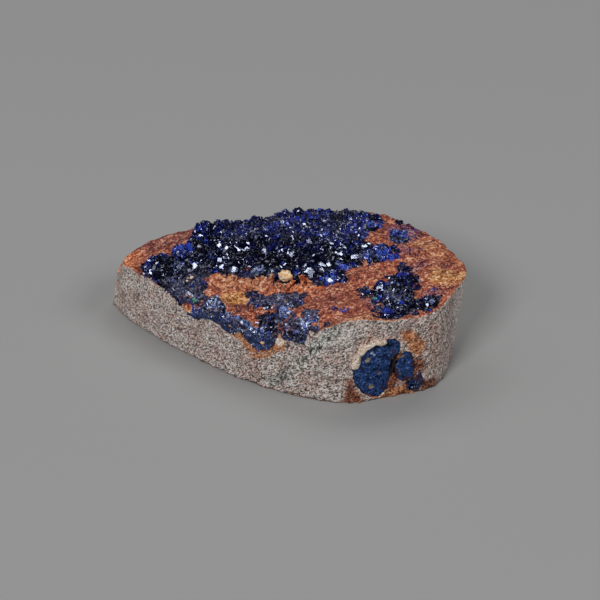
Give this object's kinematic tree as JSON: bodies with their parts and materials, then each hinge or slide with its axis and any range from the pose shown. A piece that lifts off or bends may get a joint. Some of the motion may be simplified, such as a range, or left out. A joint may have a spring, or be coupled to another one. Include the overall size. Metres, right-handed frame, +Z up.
{
  "type": "azurite specimen",
  "caption": "Freeform slab of iron-stained sandstone with a flat sawn base and ground walls, its rough top crusted with dark blue azurite crystals",
  "frame": {"origin": "middle of the footprint's bounding box, on the sawn base", "axes": "+Z up out of the natural top, +X towards the wide end, -Y towards the ground front wall"},
  "size_m": [0.0506, 0.0328, 0.0146],
  "materials": {
    "sandstone": "ground grey-pink sandstone, stained rust-brown and ochre by limonite on its natural top",
    "azurite_crystals": "glassy, very dark blue azurite crystals",
    "dense_azurite": "dense matte blue azurite, ground flush with the stone",
    "limonite": "earthy tan limonite"
  },
  "bodies": {
    "root": {"matrix": "sandstone", "druse_main": "azurite_crystals", "crust_front_left": "azurite_crystals", "crust_middle": "azurite_crystals", "crust_front_middle": "azurite_crystals", "crust_right": "azurite_crystals", "crust_right_edge": "azurite_crystals", "crust_back_right": "azurite_crystals", "nodule_main": "dense_azurite", "nodule_side": "dense_azurite", "nodule_low": "dense_azurite", "limonite_grain": "limonite"}
  },
  "joints": []
}
